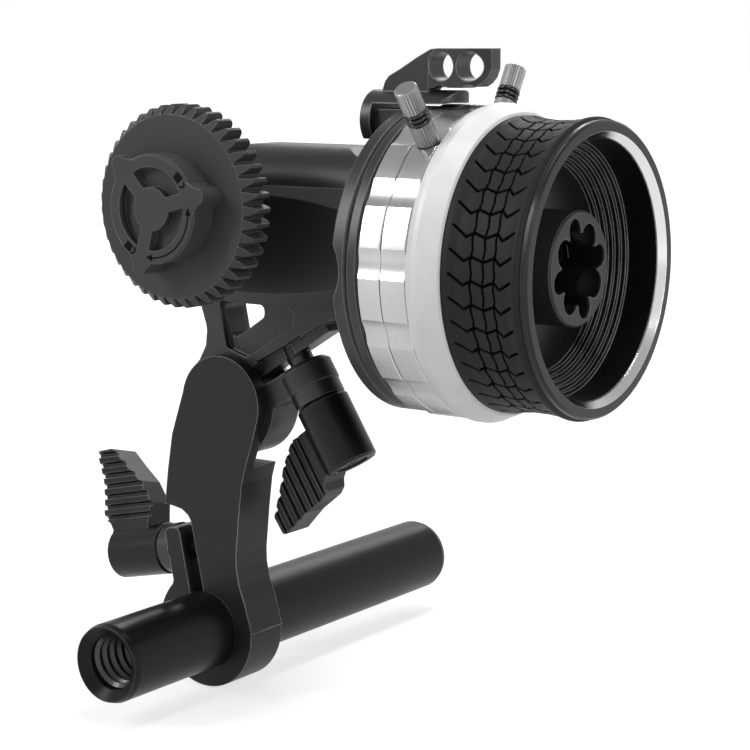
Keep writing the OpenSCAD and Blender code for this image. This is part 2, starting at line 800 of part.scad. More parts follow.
module stop_flange() {
    color(black) difference() {
        union() {
            about_x([[flange_bore_r, web_from], [flange_rear_r - lip_t, web_from],
                [flange_rear_r - lip_t, box_reach], [flange_rear_r, box_reach],
                [flange_r, box_reach + flange_w / 3], [flange_r, flange_front - edge],
                [flange_r - edge, flange_front], [flange_bore_r, flange_front]]);
            translate([boss_rear, -boss_w / 2, flange_rear_r - 3 * lip_t])
                cube([web_from - boss_rear + edge, boss_w, boss_top - flange_rear_r + 3 * lip_t]);
        }
        translate([box_reach, 0, 0]) plate_y(-flange_r - over, -flange_r / 2) flange_notch();
        translate([box_reach, 0, 0]) plate_y(flange_r / 2, flange_r + over) flange_notch();
        for (a = [45 : 90 : 315]) rotate([a, 0, 0]) translate([0, 0, screw_circle_r])
            bar_x(screw_r + stud_fit, web_from - over, flange_front + over);
        translate([0, 0, arm_screw_z]) bar_x(screw_r, boss_rear - over, boss_rear + 2 * boss_w / 3);
    }
}

// Thin cover between the flange and the stop rings
module stop_cover() {
    from = flange_front;
    step = from + groove_w;
    step_r = flange_r - groove_w * 10;
    color(black) difference() {
        about_x([[flange_bore_r, from], [step_r, from], [step_r, step],
            [flange_r - edge / 2, step], [flange_r, step + edge / 2],
            [flange_r, cover_plate_front - edge], [flange_r - edge, cover_plate_front],
            [flange_bore_r, cover_plate_front]]);
        for (a = [45 : 90 : 315]) rotate([a, 0, 0]) translate([0, 0, screw_circle_r])
            bar_x(screw_head_r + stud_fit, from - over, from + screw_head_h + stud_fit);
    }
}

module flange_screws() {
    color(silver) for (a = [45 : 90 : 315]) rotate([a, 0, 0]) translate([0, 0, screw_circle_r])
        difference() {
            union() {
                bar_x(screw_r, web_from - screw_bite, flange_front + over / 2);
                bar_x(screw_head_r, flange_front, flange_front + screw_head_h);
            }
            translate([flange_front + screw_head_h / 2, 0, 0]) rotate([0, 90, 0])
                cylinder(r = screw_hex_r, h = screw_head_h, $fn = 6);
        }
}

// Stop arm: a leg behind the flange, a bar over it and the stop plate
stop_bar_r = 5.3;
stop_bar_rise = 2.4;
stop_bar_top = ring_r + stop_bar_rise;
stop_bar_short = 1;
stop_bar_to = ring_b_rear - stop_bar_short;
stop_leg_t = 2.1;
stop_leg_from = boss_rear - gap / 3 - stop_leg_t;
stop_plate_back = 2.6;
stop_plate_short = 0.1;
stop_plate_h = 7.2;
stop_plate_from = ring_a_rear - stop_plate_back;
stop_plate_to = ring_b_front - stop_plate_short;
stop_plate_top = stop_bar_top + stop_plate_h;
stop_plate_low = stop_bar_top + edge;
hole_in = 2.7;
hole_down = 3.1;
hole_first = stop_plate_from + hole_in;
hole_z = stop_plate_top - hole_down;
arm_room = 0.35;
arm_clear_r = ring_r + arm_room;
// The concave web's outline, as shares of its run along X and its height
web_shares = [[0.2, -0.055], [0.206, 0], [0.245, 0.194], [0.314, 0.33], [0.503, 0.497],
    [0.803, 0.797], [1.016, 0.98], [1.128, 1], [1.128, 0.264], [1.032, 0.07], [0.968, -0.055]];

// Rounded lower corner of the plate, as shares of its corner size
corner_shares = [[0, 1], [-0.16, 0.55], [-0.42, 0.25], [-0.75, 0.06], [-1.2, 0]];

module stop_plate_outline() {
    corner = 3.4;
    notch = 1.6;
    bite_r = 2.1;
    bite_drop = 1.6;
    difference() {
        polygon(concat([[stop_plate_from, stop_plate_low], [stop_plate_from, stop_plate_top - notch],
            [stop_plate_from + notch, stop_plate_top], [stop_plate_to, stop_plate_top]],
            [for (p = corner_shares) [stop_plate_to + p[0] * corner, stop_plate_low + p[1] * corner]]));
        for (i = [0, 1]) translate([hole_first + i * stop_hole_pitch, stop_plate_low - bite_drop])
            circle(r = bite_r);
    }
}

// The plate seen from above: its free end is bevelled twice
bevel_shares = [[-0.9, -0.5], [-0.45, -0.38], [0, -0.12], [0, 0.5]];

module stop_plate_plan() {
    t = stop_plate_t;
    polygon(concat([[stop_plate_from - over, t / 2], [stop_plate_from - over, -t / 2]],
        [for (p = bevel_shares) [stop_plate_to + p[0] * t, p[1] * t]]));
}

module stop_web_outline() {
    run = stop_plate_from - stop_leg_from;
    polygon([for (p = web_shares) [stop_leg_from + p[0] * run, stop_bar_top + p[1] * stop_plate_h]]);
}

module stop_arm() {
    web_t = stop_plate_t * 0.8;
    color(black) difference() {
        union() {
            intersection() {
                translate([0, 0, stop_bar_top - stop_bar_r])
                    bar_x(stop_bar_r, stop_leg_from, stop_bar_to);
                union() {
                    translate([stop_leg_from - over, -2 * stop_bar_r, 0])
                        cube([stop_bar_to - stop_leg_from - stop_bar_r + over, 4 * stop_bar_r,
                            2 * ring_r]);
                    translate([stop_bar_to - stop_bar_r - fit, 0, 0])
                        cylinder(r = stop_bar_r + fit, h = 2 * ring_r);
                }
            }
            intersection() {
                plate_y(-stop_plate_t, stop_plate_t) stop_plate_outline();
                linear_extrude(2 * ring_r) stop_plate_plan();
            }
            plate_y(-web_t / 2, web_t / 2) stop_web_outline();
        }
        bar_x(arm_clear_r, stop_leg_from + stop_leg_t, stop_bar_to + over);
        translate([stop_leg_from - over, -stop_bar_r - over, 0])
            cube([stop_leg_t + 2 * over, 2 * stop_bar_r + 2 * over, arm_screw_z - screw_head_r - edge]);
        for (i = [0, 1]) translate([hole_first + i * stop_hole_pitch, 0, hole_z])
            bar_y(stop_hole_r, -stop_plate_t, stop_plate_t);
        translate([0, 0, arm_screw_z])
            bar_x(screw_r + stud_fit / 2, stop_leg_from - over, stop_leg_from + stop_leg_t + over);
    }
}

module stop_arm_screw() {
    head = stop_leg_from;
    color(dark) translate([0, 0, arm_screw_z]) difference() {
        about_x([[0, head - screw_head_h], [screw_head_r / 2, head - screw_head_h],
            [screw_head_r * 0.86, head - screw_head_h * 0.62], [screw_head_r, head],
            [screw_r, head], [screw_r, boss_rear + boss_w / 2], [0, boss_rear + boss_w / 2]]);
        translate([head - screw_head_h - over, 0, 0]) rotate([0, 90, 0])
            cylinder(r = screw_hex_r, h = over + screw_head_h / 2, $fn = 6);
    }
}

// Mitre gear about Z: teeth taper toward the apex at the origin
module mitre_gear(turn) {
    high = tooth_high_share * mitre_pitch_r;
    deep = tooth_deep_share * mitre_pitch_r;
    small = mitre_pitch_r * mitre_share;
    difference() {
        union() {
            translate([0, 0, mitre_pitch_r]) mirror([0, 0, 1])
                linear_extrude(mitre_pitch_r - small, scale = mitre_share)
                    polygon(around(tooth_ring(small_teeth, mitre_pitch_r, high, deep, 0.34), turn));
            translate([0, 0, mitre_pitch_r - edge]) cylinder(r = mitre_hub_r, h = mitre_hub_len + edge);
        }
        children();
    }
}

module wheel_bevel_gear() {
    color("goldenrod") rotate([0, 90, 0]) mitre_gear(90)
        translate([0, 0, mitre_pitch_r]) cylinder(r = wheel_shaft_r * 0.8, h = mitre_hub_len + over);
}

// Wheel shaft: carries its mitre gear at one end and the wheel at the other
seat_inset = 2.4;
shaft_seat_to = socket_floor - seat_inset;
module wheel_shaft() {
    collar_rise = 1.2;
    collar_r = wheel_shaft_r + collar_rise;
    from = mitre_pitch_r + mitre_hub_len;
    color(silver) difference() {
        about_x([[0, mitre_pitch_r], [wheel_shaft_r * 0.8, mitre_pitch_r],
            [wheel_shaft_r * 0.8, from], [collar_r, from], [collar_r, inner_bearing_from - gap / 3],
            [wheel_shaft_r, inner_bearing_from - gap / 3], [wheel_shaft_r, shaft_seat_to],
            [0, shaft_seat_to]]);
        bar_x(screw_r, shaft_seat_to - 3 * wheel_shaft_r, shaft_seat_to + over);
    }
}

module idler_bevel_gear() {
    color("goldenrod") rotate([90, 0, 0]) mitre_gear(180 / small_teeth)
        translate([0, 0, -over]) cylinder(r = gear_shaft_r, h = 2 * mitre_pitch_r + mitre_hub_len);
}

module spur_gear(turn) {
    high = tooth_high_share * spur_pitch_r;
    deep = tooth_deep_share * spur_pitch_r;
    translate([0, spur_back, 0]) rotate([90, 0, 0]) linear_extrude(spur_w) difference() {
        polygon(around(tooth_ring(small_teeth, spur_pitch_r, high, deep, 0.34), turn));
        circle(r = gear_shaft_r);
    }
}

module idler_spur_gear() {
    color("goldenrod") spur_gear(90);
}

module idler_shaft() {
    color(silver) bar_y(gear_shaft_r, chamber_front - gear_bearing_w + edge,
        box_back - plate_t + gear_bearing_w - edge);
}

module output_spur_gear() {
    color("goldenrod") translate([0, 0, gear_rise]) spur_gear(90 + 180 / small_teeth);
}

// Output shaft: its front end has a shoulder, the gear seat and two ears
gear_seat_r = 3;
ear_len = 8.8;
ear_w = 1.4;
ear_step = 1.2;
ear_to = -gear_front - ear_step;
ear_from = ear_to - ear_w;
shaft_nose = ear_from - edge;
module output_shaft() {
    gear_back = gear_w - gear_front;
    house_face = scoop_depth - box_front - gap;
    collar_r = 4.2;
    color(silver) translate([0, 0, gear_rise]) {
        bar_y(gear_shaft_r, gear_back - over, box_back - plate_t + gear_bearing_w - edge);
        bar_y(collar_r, gear_back, house_face);
        bar_y(gear_seat_r, shaft_nose, gear_back + over);
        translate([-ear_len / 2, ear_from, -ear_w / 2]) cube([ear_len, ear_to - ear_from, ear_w]);
    }
}

// Lens gear: teeth bevelled widely in front and a little behind
module lens_gear() {
    pitch_r = gear_teeth * gear_module / 2;
    tip_r = pitch_r + gear_module;
    root_r = pitch_r - 1.25 * gear_module;
    back = gear_w - gear_front;
    wide = tip_r - root_r;
    slot_gap = stud_fit / 2;
    color(dark) translate([0, 0, gear_rise]) difference() {
        intersection() {
            plate_y(-gear_front, back)
                polygon(around(tooth_ring(gear_teeth, pitch_r, gear_module,
                    1.25 * gear_module, 0.5), 0));
            about_y([[0, -gear_front], [root_r, -gear_front], [tip_r, wide - gear_front],
                [tip_r, back - edge], [tip_r - edge, back], [0, back]]);
        }
        bar_y(gear_seat_r, -gear_front - over, back + over);
        rotate([0, cap_turn / 2, 0])
            translate([-ear_len / 2 - slot_gap, -gear_front - over, -ear_w / 2 - slot_gap])
            cube([ear_len + 2 * slot_gap, gear_w + 2 * over, ear_w + 2 * slot_gap]);
        about_y([[root_r * 0.62, back + over], [root_r * 0.62, back - edge],
            [root_r * 0.9, back - edge], [root_r * 0.9, back + over]]);
    }
}

// Lock cap: a bayonet cap with three lugs and three curved windows
module gear_lock_cap() {
    rear = -gear_front - gap / 3;
    face = -gear_front - cap_h;
    window_depth = 1.6;
    floor_y = face + window_depth;
    lug_r = 1.5;
    lug_rise = 2.4;
    lug_out = cap_r + lug_rise - lug_r;
    window_out = 7.3;
    window_in = 3.85;
    spoke_w = 2.6;
    first_lug = 14;
    room = ear_len / 2 + gap;
    color(dark) translate([0, 0, gear_rise]) difference() {
        union() {
            about_y([[0, face], [cap_r - edge, face], [cap_r, face + edge], [cap_r, rear], [0, rear]]);
            plate_y(face, rear) for (i = [0 : 2]) rotate(first_lug + i * 120) {
                translate([lug_out, 0]) circle(r = lug_r);
                polygon([[cap_r * 0.9, -2 * lug_r], [lug_out, -lug_r], [lug_out, lug_r],
                    [cap_r * 0.9, 2 * lug_r]]);
            }
        }
        plate_y(face - over, floor_y) difference() {
            circle(r = window_out);
            circle(r = window_in);
            for (i = [0 : 2]) rotate(first_lug + i * 120)
                translate([0, -spoke_w / 2]) square([cap_r, spoke_w]);
        }
        bar_y(gear_seat_r + gap, shaft_nose - gap, rear + over);
        bar_y(room, ear_from - gap, ear_to + gap);
        rotate([0, cap_turn, 0]) translate([-room, ear_from, -ear_w / 2 - gap])
            cube([2 * room, cap_h, ear_w + 2 * gap]);
    }
}

// Wheel core: drum for the stop rings, grip seat and the stepped dish
step_run = 4;
step_fall = 4.4;
hub_step = 1.5;
hub_bed = 1.6;
hub_seat_r = hub_r - hub_step;
hub_seat_from = socket_floor - hub_bed;
module wheel_core() {
    shell = 3;
    web = 3.5;
    pocket = 2;
    steps = [for (i = [0 : dish_steps - 1]) each [
        [dish_r - i * step_run / dish_steps, dish_floor + step_fall * (1 - i / dish_steps)],
        [dish_r - (i + 1) * step_run / dish_steps, dish_floor + step_fall * (1 - i / dish_steps)]]];
    marking_seat_r = grip_seat_r + edge;
    color(black) difference() {
        about_x(concat([[wheel_shaft_r, drum_rear + pocket], [hub_r, drum_rear + pocket],
            [hub_r, dish_floor - web], [drum_r - shell, dish_floor - web],
            [drum_r - shell, drum_rear], [drum_r, drum_rear], [drum_r, marking_rear],
            [marking_seat_r, marking_rear], [marking_seat_r, marking_front],
            [grip_seat_r, marking_front], [grip_seat_r, rim_rear], [dish_r, rim_rear]],
            steps, [[dish_r - step_run, dish_floor], [wheel_shaft_r, dish_floor]]));
        bar_x(hub_seat_r, hub_seat_from, dish_floor + over);
    }
}

// Crank hub: a tube with a lobed socket for the speed crank. Four ball dents
// stand between its four lobes and lead the crank in
module socket_outline() {
    lobe_r = 2;
    core_r = 6.2;
    circle(r = core_r);
    for (i = [0 : 3]) rotate(15 + 90 * i) {
        translate([socket_reach - lobe_r, 0]) circle(r = lobe_r);
        translate([0, -lobe_r]) square([socket_reach - lobe_r, 2 * lobe_r]);
    }
}

module socket_dents() {
    ball_r = 2.6;
    ball_out = 5.9;
    for (i = [0 : 3]) rotate([60 + 90 * i, 0, 0])
        translate([hub_front - ball_r / 3, ball_out, 0]) sphere(r = ball_r);
}

module crank_hub() {
    color(dark) difference() {
        about_x([[0, hub_seat_from], [hub_seat_r, hub_seat_from], [hub_seat_r, dish_floor],
            [hub_r, dish_floor], [hub_r, hub_front - edge], [hub_r - edge, hub_front],
            [0, hub_front]]);
        plate_x(socket_floor, hub_front + over) socket_outline();
        socket_dents();
        bar_x(screw_r + stud_fit, hub_seat_from - over, socket_floor + over);
    }
}

module wheel_screw() {
    reach = 2.4 * wheel_shaft_r;
    head_r = 1.6 * screw_head_r;
    color(silver) difference() {
        about_x([[0, shaft_seat_to - reach], [screw_r, shaft_seat_to - reach],
            [screw_r, socket_floor], [head_r, socket_floor],
            [head_r, socket_floor + screw_head_h - edge],
            [head_r - edge, socket_floor + screw_head_h], [0, socket_floor + screw_head_h]]);
        translate([socket_floor + screw_head_h / 3, 0, 0]) rotate([0, 90, 0])
            cylinder(r = 1.5 * screw_hex_r, h = screw_head_h, $fn = 6);
    }
}

// White marking ring: a short cylinder, then a long writing cone
module marking_ring() {
    seat_r = grip_seat_r + edge;
    nose_r = grip_r - fit;
    bevel = 0.6;
    rise_w = 1.2;
    flat_w = 0.9;
    color("white") about_x([[seat_r, marking_rear], [marking_r - edge, marking_rear],
        [marking_r, marking_rear + rise_w], [marking_r, marking_rear + rise_w + flat_w],
        [nose_r + bevel, marking_front - bevel / 3], [nose_r, marking_front],
        [seat_r, marking_front]]);
}

// Rubber grip: waisted between two flared lips
grip_shares = [[0, 0], [0.06, 0], [0.2, 0.6], [0.4, 1], [0.6, 0.92], [0.8, 0.6], [0.94, -0.15],
    [1, 1]];
module rubber_grip() {
    waist = 0.65;
    color("black") about_x(concat([[grip_seat_r, grip_front], [grip_seat_r, marking_front]],
        [for (p = grip_shares) [grip_r - p[1] * waist, marking_front + p[0] * grip_w]]));
}

// Polished ring round the mouth, bevelled into the dish
module rim_ring() {
    outer = grip_r - edge;
    bevel = 1.2;
    color(silver) about_x([[dish_r, rim_rear], [dish_r + bevel, rim_front],
        [outer - edge, rim_front], [outer, rim_front - edge], [outer, grip_front],
        [grip_seat_r, grip_front], [grip_seat_r, rim_rear]]);
}

// Stop rings: scalloped hoops that turn on the drum until screwed down
module stop_ring(from, to, angle) {
    mid = (from + to) / 2;
    first = 34.8;
    cut_r = 8;
    cut_deep = 0.55;
    color("silver") difference() {
        about_x([[drum_r + fit, from], [ring_r - edge / 2, from], [ring_r, from + edge / 2],
            [ring_r, to - edge / 2], [ring_r - edge / 2, to], [drum_r + fit, to]]);
        for (i = [0 : scallops - 1]) rotate([first + i * 360 / scallops, 0, 0])
            translate([0, 0, ring_r + cut_r - cut_deep]) bar_x(cut_r, from - over, to + over);
        rotate([angle, 0, 0]) translate([mid, 0, 0]) {
            cylinder(r = thread_r + stud_fit / 2, h = ring_r + over);
            translate([0, 0, seat_z]) cylinder(r = stop_screw_r + stud_fit, h = ring_r);
        }
    }
}

// Stop screw: knurled base and cap with a thin neck for its rubber rings
thread_r = 1.3;
seat_sink = 0.7;
seat_z = ring_r - seat_sink;
screw_top = ring_r + stop_screw_len;
neck_shares = [0.37, 0.6];
oring_proud = 0.12;
oring_wire = 0.38;
orings = 3;
neck_w = stop_screw_r + oring_proud - 2 * oring_wire;
module stop_screw(mid, angle) {
    ribs = 24;
    low = seat_z + stud_fit / 2;
    neck_a = ring_r + neck_shares[0] * stop_screw_len;
    neck_b = ring_r + neck_shares[1] * stop_screw_len;
    nick = 0.12;
    color(silver) rotate([angle, 0, 0]) translate([mid, 0, 0]) difference() {
        rotate_extrude() polygon([[0, drum_r + gap], [thread_r, drum_r + gap], [thread_r, low],
            [stop_screw_r - edge / 2, low], [stop_screw_r, low + edge / 2], [stop_screw_r, neck_a],
            [neck_w, neck_a], [neck_w, neck_b], [stop_screw_r, neck_b],
            [stop_screw_r, screw_top - 0.6 * edge], [stop_screw_r - 0.6 * edge, screw_top],
            [0, screw_top]]);
        for (i = [0 : ribs - 1]) rotate(i * 360 / ribs) translate([stop_screw_r, 0, low])
            cylinder(r = nick, h = stop_screw_len + over, $fn = 4);
    }
}

module stop_orings(mid, angle) {
    neck_a = ring_r + neck_shares[0] * stop_screw_len;
    neck_b = ring_r + neck_shares[1] * stop_screw_len;
    first = neck_a + oring_wire + fit;
    step = (neck_b - oring_wire - fit - first) / (orings - 1);
    color("black") rotate([angle, 0, 0]) translate([mid, 0, 0])
        for (i = [0 : orings - 1]) translate([0, 0, first + i * step])
            rotate_extrude() translate([neck_w + oring_wire, 0]) circle(r = oring_wire, $fn = 24);
}

module stop_ring_a() {
    stop_ring(ring_a_rear, ring_a_front, -stop_a_angle);
}

module stop_screw_a() {
    stop_screw((ring_a_rear + ring_a_front) / 2, -stop_a_angle);
}

module stop_orings_a() {
    stop_orings((ring_a_rear + ring_a_front) / 2, -stop_a_angle);
}

module stop_ring_b() {
    stop_ring(ring_b_rear, ring_b_front, stop_b_angle);
}

module stop_screw_b() {
    stop_screw((ring_b_rear + ring_b_front) / 2, stop_b_angle);
}

module stop_orings_b() {
    stop_orings((ring_b_rear + ring_b_front) / 2, stop_b_angle);
}

rod();
clamp_arm();
pivot_washer();
pivot_screw();
rod_clamp_stud();
rod_lever();
rod_lever_spring();
rod_lever_screw();
swing_bracket();
gearbox_housing();
bearing_plate();
rear_cover();
gear_bearings();
wheel_bearings();
stop_flange();
stop_cover();
flange_screws();
stop_arm();
stop_arm_screw();
swing_clamp_stud();
swing_lever();
swing_lever_spring();
swing_lever_screw();
idler_shaft();
idler_bevel_gear();
idler_spur_gear();
output_shaft();
output_spur_gear();
lens_gear();
gear_lock_cap();
wheel_shaft();
wheel_bevel_gear();
wheel_core();
crank_hub();
wheel_screw();
marking_ring();
rubber_grip();
rim_ring();
stop_ring_a();
stop_screw_a();
stop_orings_a();
stop_ring_b();
stop_screw_b();
stop_orings_b();
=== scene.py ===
import json
import math

import bpy
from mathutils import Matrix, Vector


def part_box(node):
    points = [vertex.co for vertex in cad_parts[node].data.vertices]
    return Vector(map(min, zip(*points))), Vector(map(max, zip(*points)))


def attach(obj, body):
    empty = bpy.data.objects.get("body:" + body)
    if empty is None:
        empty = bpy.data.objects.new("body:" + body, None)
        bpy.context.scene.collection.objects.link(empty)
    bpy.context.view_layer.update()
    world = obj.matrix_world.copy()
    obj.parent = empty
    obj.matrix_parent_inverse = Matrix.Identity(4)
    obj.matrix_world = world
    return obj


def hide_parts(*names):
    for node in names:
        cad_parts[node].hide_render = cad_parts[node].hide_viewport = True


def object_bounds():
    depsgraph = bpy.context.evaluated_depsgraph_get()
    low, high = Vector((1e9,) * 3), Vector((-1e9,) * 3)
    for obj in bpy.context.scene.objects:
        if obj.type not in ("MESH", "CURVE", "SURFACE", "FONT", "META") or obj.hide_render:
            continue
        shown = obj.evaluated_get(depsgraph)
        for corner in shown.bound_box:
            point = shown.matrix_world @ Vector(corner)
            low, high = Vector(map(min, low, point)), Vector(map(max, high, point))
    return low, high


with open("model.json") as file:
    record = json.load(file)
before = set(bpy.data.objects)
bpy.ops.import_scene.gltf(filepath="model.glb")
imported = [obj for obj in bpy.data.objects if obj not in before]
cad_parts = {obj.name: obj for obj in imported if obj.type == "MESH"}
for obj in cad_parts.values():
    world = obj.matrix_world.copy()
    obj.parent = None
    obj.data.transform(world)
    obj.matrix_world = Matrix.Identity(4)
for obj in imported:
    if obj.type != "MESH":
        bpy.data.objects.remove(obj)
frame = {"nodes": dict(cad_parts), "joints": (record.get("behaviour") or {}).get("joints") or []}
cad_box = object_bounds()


# Rod
# A 15 mm aluminium tube end, turned, black anodised and satin. Both ends are
# tapped with a coarse thread so that rods can be joined end to end.

MM = 0.001


def add_socket(group, name, kind, default=None, out=False):
    """An input or output of a node group."""
    socket = group.interface.new_socket(
        name=name, in_out="OUTPUT" if out else "INPUT", socket_type="NodeSocket" + kind)
    if default is not None:
        socket.default_value = default


def link(tree, a, b):
    tree.links.new(a, b)


def node(tree, kind, **values):
    """A shader node of one kind with its settings."""
    n = tree.nodes.new("ShaderNode" + kind)
    for key, value in values.items():
        setattr(n, key, value)
    return n


def math_node(tree, operation, *terms):
    """The output of a Math node on numbers and sockets."""
    n = node(tree, "Math", operation=operation)
    for term, socket in zip(terms, n.inputs):
        if isinstance(term, (int, float)):
            socket.default_value = term
        else:
            link(tree, term, socket)
    return n.outputs[0]


BLOTCHES = 130.0           # scale of the uneven patches, each some 8 mm wide
FLAT_COSINE = 0.975        # only corners sharper than about 25 degrees get the bright edge colour, as wear and as a painted highlight
EDGE_WEAR_AND_HIGHLIGHT_GAIN = 7.5
PATCH_GAIN, PATCH_SHIFT = 1.6, -0.25
TONE_SPREAD, TONE_FROM = 0.3, 0.85
RELIEF = 0.00002           # height of grain and turning lines at strength 1, in m


def make_finish_group():
    """Satin or polished skin: grain in roughness and height, and bright edges that are partly
    wear and partly a painted highlight.
    """
    g = bpy.data.node_groups.new("worn_and_highlit_finish", "ShaderNodeTree")
    add_socket(g, "Color", "Color", (0.05, 0.05, 0.05, 1))
    add_socket(g, "Edge Color", "Color", (0.3, 0.3, 0.3, 1))
    add_socket(g, "Edge Width", "Float", 0.0002)
    add_socket(g, "Edge Amount", "Float", 0.5)
    add_socket(g, "Roughness", "Float", 0.4)
    add_socket(g, "Roughness Spread", "Float", 0.08)
    add_socket(g, "Grain Scale", "Float", 6000.0)
    add_socket(g, "Grain Height", "Float", 0.15)
    add_socket(g, "Color", "Color", out=True)
    add_socket(g, "Roughness", "Float", out=True)
    add_socket(g, "Normal", "Vector", out=True)
    given = g.nodes.new("NodeGroupInput").outputs
    result = g.nodes.new("NodeGroupOutput").inputs
    coord = node(g, "TexCoord")
    fine = node(g, "TexNoise")
    fine.inputs["Detail"].default_value = 3.0
    link(g, coord.outputs["Object"], fine.inputs["Vector"])
    link(g, given["Grain Scale"], fine.inputs["Scale"])
    broad = node(g, "TexNoise")
    broad.inputs["Scale"].default_value = BLOTCHES
    broad.inputs["Detail"].default_value = 4.0
    link(g, coord.outputs["Object"], broad.inputs["Vector"])

    # edge wear and painted edge highlight: where the rounded normal leaves the face's own, in
    # patches
    round_edge = node(g, "Bevel", samples=4)
    link(g, given["Edge Width"], round_edge.inputs["Radius"])
    face = node(g, "NewGeometry")
    dot = node(g, "VectorMath", operation="DOT_PRODUCT")
    link(g, round_edge.outputs[0], dot.inputs[0])
    link(g, face.outputs["Normal"], dot.inputs[1])
    edge = math_node(g, "SUBTRACT", FLAT_COSINE, dot.outputs["Value"])
    edge = math_node(g, "MAXIMUM", edge, 0.0)
    edge = math_node(g, "MULTIPLY", edge, EDGE_WEAR_AND_HIGHLIGHT_GAIN)
    patchy = math_node(g, "MULTIPLY_ADD", broad.outputs[0], PATCH_GAIN, PATCH_SHIFT)
    edge = math_node(g, "MULTIPLY", edge, patchy)
    edge = math_node(g, "MULTIPLY", edge, given["Edge Amount"])
    clamp = node(g, "Clamp")
    link(g, edge, clamp.inputs[0])

    # colour: a little uneven, and bright on the edges, as wear and as a painted highlight
    tone = math_node(g, "MULTIPLY_ADD", broad.outputs[0], TONE_SPREAD, TONE_FROM)
    shade = node(g, "VectorMath", operation="SCALE")
    link(g, given["Color"], shade.inputs[0])
    link(g, tone, shade.inputs["Scale"])
    mix = node(g, "Mix", data_type="RGBA")
    link(g, clamp.outputs[0], mix.inputs["Factor"])
    link(g, shade.outputs[0], mix.inputs["A"])
    link(g, given["Edge Color"], mix.inputs["B"])
    link(g, mix.outputs["Result"], result["Color"])

    # roughness and normal: both noises about their middle, and the fine grain
    both = math_node(g, "ADD", fine.outputs[0], broad.outputs[0])
    both = math_node(g, "SUBTRACT", both, 1.0)
    rough = math_node(g, "MULTIPLY_ADD", both, given["Roughness Spread"], given["Roughness"])
    link(g, rough, result["Roughness"])
    bump = node(g, "Bump")
    bump.inputs["Distance"].default_value = RELIEF
    link(g, given["Grain Height"], bump.inputs["Strength"])
    link(g, fine.outputs[0], bump.inputs["Height"])
    link(g, round_edge.outputs[0], bump.inputs["Normal"])
    link(g, bump.outputs[0], result["Normal"])
    return g


FINISH = make_finish_group()


def finish_material(name, color, edge_color, metallic=0.0, specular=0.5, **values):
    """A material on the finish group; values are named as the group's inputs."""
    material = bpy.data.materials.new(name)
    material.use_nodes = True
    tree = material.node_tree
    shader = tree.nodes["Principled BSDF"]
    shader.inputs["Metallic"].default_value = metallic
    shader.inputs["Specular IOR Level"].default_value = specular
    finish = node(tree, "Group", node_tree=FINISH)
    finish.inputs["Color"].default_value = (*color, 1)
    finish.inputs["Edge Color"].default_value = (*edge_color, 1)
    for key, value in values.items():
        finish.inputs[key.replace("_", " ").title()].default_value = value
    link(tree, finish.outputs["Color"], shader.inputs["Base Color"])
    link(tree, finish.outputs["Roughness"], shader.inputs["Roughness"])
    link(tree, finish.outputs["Normal"], shader.inputs["Normal"])
    return material


def dress(material, *names):
    """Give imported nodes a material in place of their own."""
    for name in names:
        mesh = frame["nodes"][name].data
        mesh.materials.clear()
        mesh.materials.append(material)


def box_mm(name):
    """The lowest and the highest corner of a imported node, in millimetres."""
    low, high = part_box(name)
    return low / MM, high / MM


def new_piece(name, verts, faces, material, smooth=False):
    """A piece of the scene alone, from corners in millimetres."""
    mesh = bpy.data.meshes.new(name)
    mesh.from_pydata([[c * MM for c in v] for v in verts], [], faces)
    mesh.materials.append(material)
    mesh.update()
    if smooth:
        mesh.shade_smooth()
    obj = bpy.data.objects.new(name, mesh)
    bpy.context.scene.collection.objects.link(obj)
    return obj


dress(finish_material(
    "black_anodised_rod", (0.006, 0.006, 0.0065), (0.25, 0.25, 0.26), specular=0.15,
    roughness=0.34, roughness_spread=0.1, edge_width=0.0003, edge_amount=0.5,
    grain_scale=9000.0, grain_height=0.2), "rod")

ROD_LOW, ROD_HIGH = box_mm("rod")
ROD_AXIS = (ROD_LOW + ROD_HIGH) / 2
THREAD_INSET = 2.4         # from the rod's end to the first turn
THREAD_TURNS, THREAD_PITCH = 6, 2.0
THREAD_WALL_R, THREAD_CREST_R = 5.1, 4.4
THREAD_SUNK = 0.02         # how far the ridge's foot lies in the wall
THREAD_FOOT, THREAD_FLAT = 0.42 * THREAD_PITCH, 0.12 * THREAD_PITCH
THREAD_STEPS = 48          # steps in one turn
THREAD_FADE = 20           # steps in which the ridge rises at either end


def rod_thread(name, start, way, material):
    """An internal thread: a ridge wound on the wall of the bore, along Y."""
    verts, faces = [], []
    total = THREAD_TURNS * THREAD_STEPS
    root = THREAD_WALL_R + THREAD_SUNK
    for k in range(total + 1):
        a = 2 * math.pi * k / THREAD_STEPS
        y = start + way * THREAD_PITCH * k / THREAD_STEPS
        fade = min(1.0, k / THREAD_FADE, (total - k) / THREAD_FADE)
        crest = THREAD_WALL_R - (THREAD_WALL_R - THREAD_CREST_R) * fade
        for dy, r in ((-THREAD_FOOT, root), (-THREAD_FLAT, crest), (THREAD_FLAT, crest),
                      (THREAD_FOOT, root)):
            verts.append((ROD_AXIS.x + r * math.cos(a), y + dy, ROD_AXIS.z + r * math.sin(a)))
    for k in range(total):
        for j in range(3):
            p, q = 4 * k + j, 4 * k + j + 4
            faces.append((p, p + 1, q + 1, q))
    return new_piece(name, verts, faces, material)


THREAD = finish_material("machined_thread", (0.06, 0.06, 0.065), (0.3, 0.3, 0.3), metallic=0.3,
                         roughness=0.3, edge_width=0.0001, edge_amount=0.3)
for end, start, way in (("front", ROD_LOW.y + THREAD_INSET, 1),
                        ("back", ROD_HIGH.y - THREAD_INSET, -1)):
    ridge = rod_thread("rod_thread_" + end, start, way, THREAD)
    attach(ridge, "rod")
